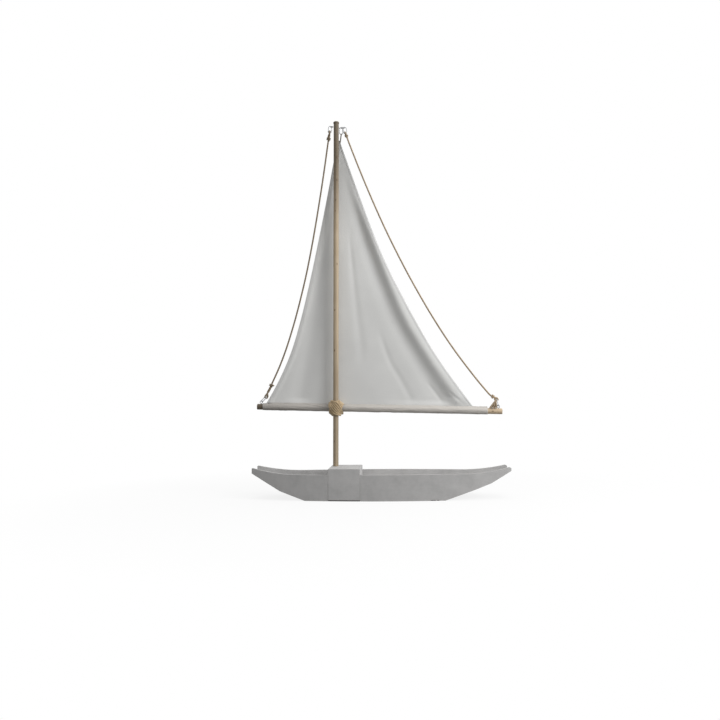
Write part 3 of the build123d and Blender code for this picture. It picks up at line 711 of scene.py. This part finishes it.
# ---- operators ----
class BOAT_OT_stage(bpy.types.Operator):
    """Set up the camera, the floor, the backdrop and the lamps"""
    bl_idname = "boat.stage"
    bl_label = "Stage"

    def execute(self, context):
        scene = context.scene
        light = scene.boat_light
        lens = bpy.data.cameras.new("camera")
        lens.sensor_width = 36.0
        lens.lens = 35.7
        lens.shift_x = -0.029
        lens.shift_y = -0.0673
        lens.clip_end = 60.0
        camera = bpy.data.objects.new("camera", lens)
        camera.location = (0.1093, -4.3812, 0.5497)
        level = Euler((math.radians(90 + 7.41), 0.0, math.radians(1.385))).to_matrix()
        camera.rotation_euler = (level @ Matrix.Rotation(math.radians(-0.395), 3, "Z")).to_euler()
        scene.collection.objects.link(camera)
        scene.camera = camera

        bm = bmesh.new()
        bmesh.ops.create_grid(bm, x_segments=1, y_segments=1, size=30.0)
        floor = bpy.data.objects.new("floor", mesh_of(bm, "floor"))
        scene.collection.objects.link(floor)
        floor.data.materials.append(new_material("Studio floor, matt white", self.floor_paint))

        lamps = [
            ("key_lamp", (4.9, -2.46, 3.2), 3.4, light.key_power),
            ("top_lamp", (0.4, -0.9, 5.4), 3.0, light.key_power * 0.22),
        ]
        for name, place, size, power in lamps:
            lamp = bpy.data.lights.new(name, "AREA")
            lamp.shape = "DISK"
            lamp.size = size
            lamp.energy = power
            holder = bpy.data.objects.new(name, lamp)
            holder.location = place
            aim = Vector((0.0, 0.0, 0.9)) - Vector(place)
            holder.rotation_euler = aim.to_track_quat("-Z", "Y").to_euler()
            scene.collection.objects.link(holder)

        world = bpy.data.worlds.new("studio")
        add = clear_tree(world)
        seen = seen_by(add, "Is Camera Ray", "Is Glossy Ray", "Is Transmission Ray")
        even = add("Background", {"Color": (1.0, 1.0, 1.0, 1.0), "Strength": light.sky_strength})
        white = add("Background", {"Color": (1.0, 1.0, 1.0, 1.0), "Strength": 1.0})
        both = add("MixShader", {0: seen, 1: even, 2: white})
        add("OutputWorld", {0: both})
        scene.world = world
        scene.view_settings.view_transform = "Standard"
        return {"FINISHED"}

    def floor_paint(self, add, place):
        """White studio floor that runs into the background and still takes a soft shadow. What it
        throws back at the hull is that of a mid-grey floor."""
        away = add("VectorMath", {0: place}, operation="LENGTH").outputs["Value"]
        near = add("MapRange", {0: away, 1: 0.6, 2: 2.2, 3: 0.84, 4: 1.0})
        diffuse = add("BsdfDiffuse", {"Color": (0.22, 0.22, 0.22, 1.0)})
        bright = add("BsdfDiffuse", {"Color": (0.80, 0.80, 0.80, 1.0)})
        glow = add("Emission", {"Color": (1.0, 1.0, 1.0, 1.0), "Strength": 1.0})
        shown = add("MixShader", {0: near, 1: bright, 2: glow})
        seen = seen_by(add, "Is Camera Ray", "Is Glossy Ray")
        return add("MixShader", {0: seen, 1: diffuse, 2: shown})


class BOAT_OT_stays(bpy.types.Operator):
    """Lay the two rope stays, from the mast top to the ends of the boom"""
    bl_idname = "boat.stays"
    bl_label = "Rope stays"

    def execute(self, context):
        ropes = context.scene.boat_ropes
        radius = ropes.rope_diameter / 2
        for side, points in (("left", stay_left_points), ("right", stay_right_points)):
            line = centreline("route", points)
            tubes = laid(line, radius, ropes.lay_length, (0.0, 1.0, 0.0))
            name = f"stay_{side}"
            rope = add_piece(f"rope_{name}", tube_mesh(name, tubes), rope_finish, [name])
        return {"FINISHED"}


class BOAT_OT_knots(bpy.types.Operator):
    """Tie the ends of the stays to their snap hooks"""
    bl_idname = "boat.knots"
    bl_label = "Knots of the stays"

    def execute(self, context):
        ropes = context.scene.boat_ropes
        radius = ropes.rope_diameter / 2
        for name, (end, following), pull, turn, place, turns, twine, tail in rope_ends:
            way = Vector((pull[0], 0.0, pull[1])).normalized()
            low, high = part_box(f"snap_hook_{name}")
            bar = (low + high) / 2 + way * hook_half
            level = Vector((way.z, 0.0, -way.x))
            axis = level * math.cos(math.radians(turn)) + Vector((0, 1, 0)) * math.sin(math.radians(turn))
            end = Vector(end)
            along = (end - bar).normalized()
            stop = bar.lerp(end, place)
            if place > 1:
                along = (Vector(following) - end).normalized()
                stop = end + along * (end - bar).length * (place - 1)
            side = Vector((along.z, 0.0, -along.x))
            eye = self.eye(bar, end, stop, axis, Vector((tail[0], -0.004, tail[1])), radius)
            tubes = laid(centreline("eye", eye), radius, ropes.lay_length, (0.31, 0.9, 0.3))
            wide = radius * knot_width + twine / 2
            wound = self.coil(stop, along, side, wide, radius + twine / 2, turns, twine * 1.05)
            tubes += laid(np.array(wound), twine / 2, twine_lay, along)
            if name == "stay_right_bottom":
                tubes += self.tails(bar)
            knot = f"knot_{name}"
            add_piece(f"rope_{knot}", tube_mesh(knot, tubes), rope_finish, [knot])
        return {"FINISHED"}

    def eye(self, bar, end, stop, axis, tail, radius):
        """Steering points of the rope: down one side, round the bar and back up the other side."""
        along = (end - bar).normalized()
        over = along.cross(axis).normalized()
        side = Vector((along.z, 0.0, -along.x))
        gap = hook_wire / 2 + radius + eye_play
        share = (stop - bar).length / (end - bar).length
        lean = side * radius * 0.65 * min(share, 1.0)
        aslant = side * 0.7 + over * 0.5
        return [
            end + along * 0.001,
            end - along * 0.008 - lean * 0.3,
            bar.lerp(end, 0.6) - lean,
            bar.lerp(end, 0.3) - aslant * radius * min(share / 0.6, 1.0),
            bar + along * 0.003 - over * gap,
            bar - along * gap * 1.5 - over * gap,
            bar - along * gap * 1.5 + over * gap,
            bar + along * 0.003 + over * gap,
            bar.lerp(stop, 0.38) + aslant * radius,
            bar.lerp(stop, 0.72) + side * radius * 0.7,
            stop + side * radius * 0.7,
            stop + along * 0.010 + side * radius * 0.9 + tail * 0.5,
            stop + along * 0.008 + side * radius + tail,
        ]

    def coil(self, middle, along, side, wide, deep, turns, pitch):
        """Points of a close winding round an oval bundle."""
        other = along.cross(side)
        made = []
        for i in range(turns * 16 + 1):
            t = i / 16
            angle = 2 * math.pi * t
            lift = along * pitch * (t - turns / 2)
            made.append(middle + lift + side * wide * math.cos(angle) + other * deep * math.sin(angle))
        return made

    def tails(self, bar):
        """Loose ends that fan out in front of the hook and end on the boom."""
        tubes = []
        top = Vector((bar.x, boom_y, bar.z)) + Vector(tail_start)
        for k, across in enumerate(tail_feet):
            back = Vector((0.0, 0.003 * (k % 2), 0.0))
            x = bar.x + across
            foot = Vector((x, top.y + tail_setback, boom_z(x) + boom_radius * 0.99)) + back
            bend = top.lerp(foot, 0.5) + back + Vector((across * 0.06, -0.003, 0.0))
            line = centreline("tail", [top, bend, foot])
            tubes += laid(line, tail_radius, tail_lay, (0.0, 1.0, 0.0))
        return tubes


class BOAT_OT_lashing(bpy.types.Operator):
    """Bind the boom to the mast with a round ball of crossed turns"""
    bl_idname = "boat.lashing"
    bl_label = "Lashing"

    def execute(self, context):
        ropes = context.scene.boat_ropes
        radius = ropes.lashing_diameter / 2
        tubes = []
        for layer, slope in enumerate(lashing_slopes):
            lift = radius * (1 + lashing_rise * layer)
            for i in range(lashing_turns):
                place = i - (lashing_turns - 1) / 2
                path = self.turn(math.radians(slope + place * lashing_fan), place * 2 * radius, layer, lift)
                line = centreline("turn", path, cyclic=True)
                line = clear_of_rod(line, (mast_x, 0.0, 0.0), (0.0, 0.0, 1.0), mast_radius + lift)
                line = clear_of_rod(line, (mast_x, boom_y, boom_z(mast_x)), boom_way, sleeve_radius + lift)
                across = Vector((-math.sin(math.radians(slope)), 0.0, math.cos(math.radians(slope))))
                lay = ropes.lay_length * lashing_lay
                tubes += laid(line, radius, lay, across, closed=True, phase=i * 1.7)
        add_piece("rope_boom_lashing", tube_mesh("rope_boom_lashing", tubes), lashing_finish,
                  ["boom_lashing"])
        return {"FINISHED"}

    def turn(self, slope, offset, layer, lift):
        """Steering points of one turn."""
        front = -(mast_radius + lift)
        back = boom_y + sleeve_radius + lift
        reach = lashing_reach - layer * 0.001
        along = Vector((math.cos(slope), 0.0, math.sin(slope)))
        across = Vector((-math.sin(slope), 0.0, math.cos(slope)))
        hub = Vector((mast_x, 0.0, boom_z(mast_x)))
        made = []
        for k in range(16):
            angle = 2 * math.pi * (k + 0.5) / 16
            c, w = math.cos(angle), math.sin(angle)
            s = math.copysign(abs(c) ** 0.6, c)
            d = math.copysign(abs(w) ** 0.6, w)
            # Turns spread apart at their middle, and those farther out lie lower on the ball.
            bow = 0.62 + 0.68 * (1 - s * s)
            sunk = (offset * bow / 0.04) ** 2 * 0.014 * abs(d)
            depth = (front + back) / 2 - d * (back - front) / 2 + math.copysign(sunk, d)
            made.append(hub + along * s * reach + across * offset * bow + Vector((0.0, depth, 0.0)))
        return made


class BOAT_OT_finishes(bpy.types.Operator):
    """Mix the finishes and give the wooden and steel parts theirs"""
    bl_idname = "boat.finishes"
    bl_label = "Wood, steel and rope finishes"

    def execute(self, context):
        colours = context.scene.boat_colours
        paint, pine = colours.hull_paint, colours.pine
        on_mast = []
        for height, across, turn in mast_knots:
            x = mast_x + mast_radius * math.sin(turn)
            on_mast.append(((x, -mast_radius * math.cos(turn), height), across))
        on_boom = [((0.68, boom_y - boom_radius, boom_z(0.68)), 0.005)]
        # Name of the finish, what mixes it, its settings, and the carried-over nodes that get it.
        finishes = [
            (rope_finish, jute_rope, (colours.jute, stay_painted_light), ""),
            (lashing_finish, jute_rope, (colours.lashing_jute_painted_light, None), ""),
            (thread_finish, cotton_thread, (colours.sailcloth,), ""),
            (sail_finish, woven_cotton, (colours.sailcloth, 0.13, 2, sail_painted_shade), ""),
            (sleeve_finish, woven_cotton, (colours.sleeve_cloth, 0.13, 0, sleeve_tones_with_painted_shade), ""),
            # The tape is the stays' jute made darker, 0.8 of it: painted shade for the shaded strip beside
            # the mast.
            (tape_finish, webbing, (shade(colours.jute, 0.8),), ""),
            ("Softwood boards, matt emulsion", painted_wood, (paint, 0, None), "side_board_front_*"),
            # The back board's paint is 1.15 times as light as the boards': painted light on its inner face.
            ("Softwood back board, matt emulsion with painted light", painted_wood, (shade(paint, 1.15), 0, back_board_painted_light),
             "side_board_back"),
            # The block's paint is 1.05 times as light as the boards': painted light, so that its face
            # matches theirs.
            ("Softwood block, matt emulsion with painted light", painted_wood, (shade(paint, 1.05), 0, None), "mast_block"),
            ("Softwood planks, matt emulsion", painted_wood, (shade(paint, 0.97), 1, None), "*_plank*"),
            ("Pine mast, turned and waxed", pine_rod, (pine, 2, mast_painted_shade, on_mast), "mast mast_cap"),
            ("Pine boom, turned and waxed", pine_rod, (shade(pine, 1.08), 0, boom_painted_light, on_boom), "boom"),
            ("Steel wire, zinc plated", wire_steel, (colours.steel, 0.3), "snap_hook_* hook_gate_*"),
            ("Steel wire, dull zinc", wire_steel, (colours.dull_steel, 0.45), "screw_eye_*"),
            ("Rubber pad, moulded", rubber_pad, (colours.dark_pad,), "mast_block_base_plate foot_strip_*"),
        ]
        for name, mix, settings, patterns in finishes:
            finish_nodes(new_material(name, mix, *settings), patterns.split())
        return {"FINISHED"}


class BOAT_OT_sail(bpy.types.Operator):
    """Cut the sail, hang it and fold it"""
    bl_idname = "boat.sail"
    bl_label = "Sail"

    def execute(self, context):
        cloth = context.scene.boat_cloth
        columns, rows = 150, 200
        bm = bmesh.new()
        bmesh.ops.create_grid(bm, x_segments=columns, y_segments=rows, size=0.5)
        column = np.round((np.array([v.co.x for v in bm.verts]) + 0.5) * columns)
        up = np.array([v.co.y for v in bm.verts]) + 0.5
        x, z = cloth_places(column, columns, up)
        y = cloth_y(x, z)
        for vert, place in zip(bm.verts, zip(x, y, z)):
            vert.co = place
        unwrap(bm, lambda co: (co.x, co.z))
        bmesh.ops.recalc_face_normals(bm, faces=bm.faces)
        sail = add_piece("sail_cloth", mesh_of(bm, "sail_cloth"), sail_finish, ["sail"])
        hem = sail.vertex_groups.new(name="hem")
        from_edge = np.minimum(column, columns - column)
        for index in np.nonzero(from_edge <= 3)[0]:
            hem.add([int(index)], 1.0, "REPLACE")
        # The hems are three cloths thick, and the rest is one.
        wall = thicken(sail, cloth.cloth_thickness * 3, 0.0)
        wall.vertex_group = hem.name
        wall.thickness_vertex_group = 1 / 3
        self.stitches(cloth)
        return {"FINISHED"}

    def stitches(self, cloth):
        """One row of stitches along each hem of the sail and one along the top of the sleeve."""
        bm = bmesh.new()
        proud = cloth.cloth_thickness * 0.6
        heights = np.linspace(boom_height, head_height, 4000)
        x0, x1 = cloth_edges(heights)
        inside = np.minimum(cloth.hem_width, 0.3 * (x1 - x0)) * stitch_inset
        for x in (x0 + inside, x1 - inside):
            keep = heights > boom_z(x) + sleeve_radius + 0.006
            line = np.stack([x, cloth_y(x, heights) - proud, heights], axis=1)[keep]
            self.stitch(bm, line, cloth.stitch_length)
        x = np.linspace(sleeve_box[0][0] + 0.004, sleeve_box[1][0] - 0.004, 400)
        lift = sleeve_radius + sleeve_seam(x, math.pi / 2) * 0.3
        line = np.stack([x, np.full_like(x, boom_y - seam_front), boom_z(x) + lift], axis=1)
        self.stitch(bm, line, cloth.stitch_length)
        return add_piece("sail_stitches", mesh_of(bm, "sail_stitches"), thread_finish)

    def stitch(self, bm, line, length):
        """Small round-ended stitches along a line."""
        points = evenly(line, length * stitch_step)[0]
        size = Matrix.Diagonal((length / 2, stitch_thickness, stitch_thickness * 0.7, 1.0))
        for here, there in zip(points, points[1:]):
            here, there = Vector(here), Vector(there)
            way = (there - here).normalized()
            cross = Vector((0.0, -1.0, 0.0)).cross(way).normalized()
            turn = Matrix((way, cross, way.cross(cross))).transposed().to_4x4()
            place = Matrix.Translation(here.lerp(there, 0.5)) @ turn @ size
            bmesh.ops.create_icosphere(bm, subdivisions=1, radius=1.0, matrix=place)

    def flat_area(self, x, z, up):
        """Area of the triangle before it was folded, row by row."""
        rows = [np.abs(up - row) < 1e-4 for row in sorted(set(np.round(up, 5)))]
        width = np.array([np.ptp(x[row]) for row in rows])
        height = np.array([z[row].mean() for row in rows])
        return float(np.sum((width[1:] + width[:-1]) / 2 * np.diff(height)))


class BOAT_OT_sleeve(bpy.types.Operator):
    """Sew the tube of cloth that the boom slides into"""
    bl_idname = "boat.sleeve"
    bl_label = "Sleeve"

    def execute(self, context):
        left, right = sleeve_box[0][0], sleeve_box[1][0]
        bm = bmesh.new()
        bmesh.ops.create_circle(bm, cap_ends=False, segments=48, radius=1.0)
        ring = bm.edges[:]
        steps = 300
        length = right - left
        for _ in range(steps):
            made = bmesh.ops.extrude_edge_only(bm, edges=ring)
            verts = [g for g in made["geom"] if isinstance(g, bmesh.types.BMVert)]
            ring = [g for g in made["geom"] if isinstance(g, bmesh.types.BMEdge)]
            bmesh.ops.translate(bm, verts=verts, vec=(0.0, 0.0, length / steps))
        for vert in bm.verts:
            angle = math.atan2(vert.co.y, vert.co.x)
            x = left + vert.co.z
            vert.co = self.place(x, angle)
        unwrap(bm, lambda co: (co.x, math.atan2(co.z - boom_z(co.x), co.y - boom_y) * sleeve_radius))
        bmesh.ops.recalc_face_normals(bm, faces=bm.faces)
        sleeve = add_piece("sail_foot_sleeve", mesh_of(bm, "sail_foot_sleeve"), sleeve_finish,
                           ["sail_sleeve"])
        thicken(sleeve, context.scene.boat_cloth.cloth_thickness, -1.0)
        return {"FINISHED"}

    def place(self, x, angle):
        """A point of the sleeve: round the boom, drawn up to a seam on top."""
        seam = float(sleeve_seam(x, angle))
        wrinkle = noise.noise(Vector((x * 14, angle * 1.2, 0.0))) * 0.0016
        wrinkle += noise.noise(Vector((x * 45, angle * 2.0, 5.0))) * 0.0007
        along = (x - sleeve_crease[0]) / (sleeve_crease[1] - sleeve_crease[0])
        if 0 < along < 1:
            aim = math.radians(95 + 100 * along)
            off = math.remainder(angle - aim, 2 * math.pi)
            # A shallow groove with a higher ridge above it.
            wrinkle -= 0.0012 * math.sin(math.pi * along) * math.exp(-(off / 0.14) ** 2)
            wrinkle += 0.0038 * math.sin(math.pi * along) * math.exp(-((off + 0.24) / 0.17) ** 2)
        # A little inside the CAD sleeve, because the wrinkles stand out from it.
        radius = sleeve_radius - 0.0012 + seam + wrinkle
        y = boom_y + radius * math.cos(angle)
        z = boom_z(x) + radius * math.sin(angle)
        return (x, y, z)


class BOAT_OT_strap(bpy.types.Operator):
    """Loop the tape that ties the head of the sail to its snap hook"""
    bl_idname = "boat.strap"
    bl_label = "Head strap"

    def execute(self, context):
        low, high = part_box("snap_hook_sail_head")
        bar = (low + high) / 2 - Vector((0.0, 0.0, hook_half))
        root = Vector((mast_x + strap_root[0], boom_y - 0.0020, head_height - strap_root[1]))
        thick = strap_thickness
        turn = hook_wire / 2 + thick + strap_play
        steps = 24
        way = (bar - root).normalized()
        cross = Vector((1.0, 0.0, 0.0)).cross(way).normalized()
        path = [root - way * 0.006 + cross * thick * 0.6, bar - way * turn * 1.6 + cross * thick * 0.7]
        for k in range(steps + 1):
            angle = math.pi * (k / steps * 1.5 - 0.25)
            path.append(bar + cross * turn * math.cos(angle) + way * turn * math.sin(angle))
        path += [bar - way * turn * 1.6 - cross * thick * 0.7, root - way * 0.006 - cross * thick * 0.6]
        line = centreline("strap", path)
        bm = bmesh.new()
        bmesh.ops.create_grid(bm, x_segments=2, y_segments=len(line) - 1, size=0.5)
        for vert in bm.verts:
            spot = line[round((vert.co.y + 0.5) * (len(line) - 1))]
            vert.co = Vector(spot) + Vector((vert.co.x * strap_width, 0.0, 0.0))
        bmesh.ops.recalc_face_normals(bm, faces=bm.faces)
        strap = add_piece("sail_head_loop", mesh_of(bm, "sail_head_loop"), tape_finish,
                          ["sail_head_strap"])
        thicken(strap, thick, 0.0)
        return {"FINISHED"}


class BOAT_PT_panel(bpy.types.Panel):
    bl_label = "Decorative boat"
    bl_idname = "BOAT_PT_panel"
    bl_space_type = "VIEW_3D"
    bl_region_type = "UI"
    bl_category = "Boat"

    def draw(self, context):
        layout = self.layout
        for group in setting_groups:
            box = layout.box()
            settings = getattr(context.scene, group)
            for name in setting_groups[group].__annotations__:
                box.prop(settings, name)
        for operator in operators:
            layout.operator(operator.bl_idname)


setting_groups = {
    "boat_ropes": BoatRopes,
    "boat_cloth": BoatCloth,
    "boat_colours": BoatColours,
    "boat_light": BoatLight,
}
operators = [
    BOAT_OT_stage,
    BOAT_OT_finishes,
    BOAT_OT_stays,
    BOAT_OT_knots,
    BOAT_OT_lashing,
    BOAT_OT_sail,
    BOAT_OT_sleeve,
    BOAT_OT_strap,
]


def register():
    """Add the classes and their settings."""
    for kind in [*setting_groups.values(), *operators, BOAT_PT_panel]:
        bpy.utils.register_class(kind)
    for name, kind in setting_groups.items():
        setattr(bpy.types.Scene, name, bpy.props.PointerProperty(type=kind))


def unregister():
    """Take the settings and the classes away again."""
    for name in setting_groups:
        delattr(bpy.types.Scene, name)
    for kind in [BOAT_PT_panel, *operators, *setting_groups.values()]:
        bpy.utils.unregister_class(kind)


def main():
    """Build every piece."""
    register()
    for operator in operators:
        group, name = operator.bl_idname.split(".")
        getattr(getattr(bpy.ops, group), name)()


if __name__ == "__main__":
    main()
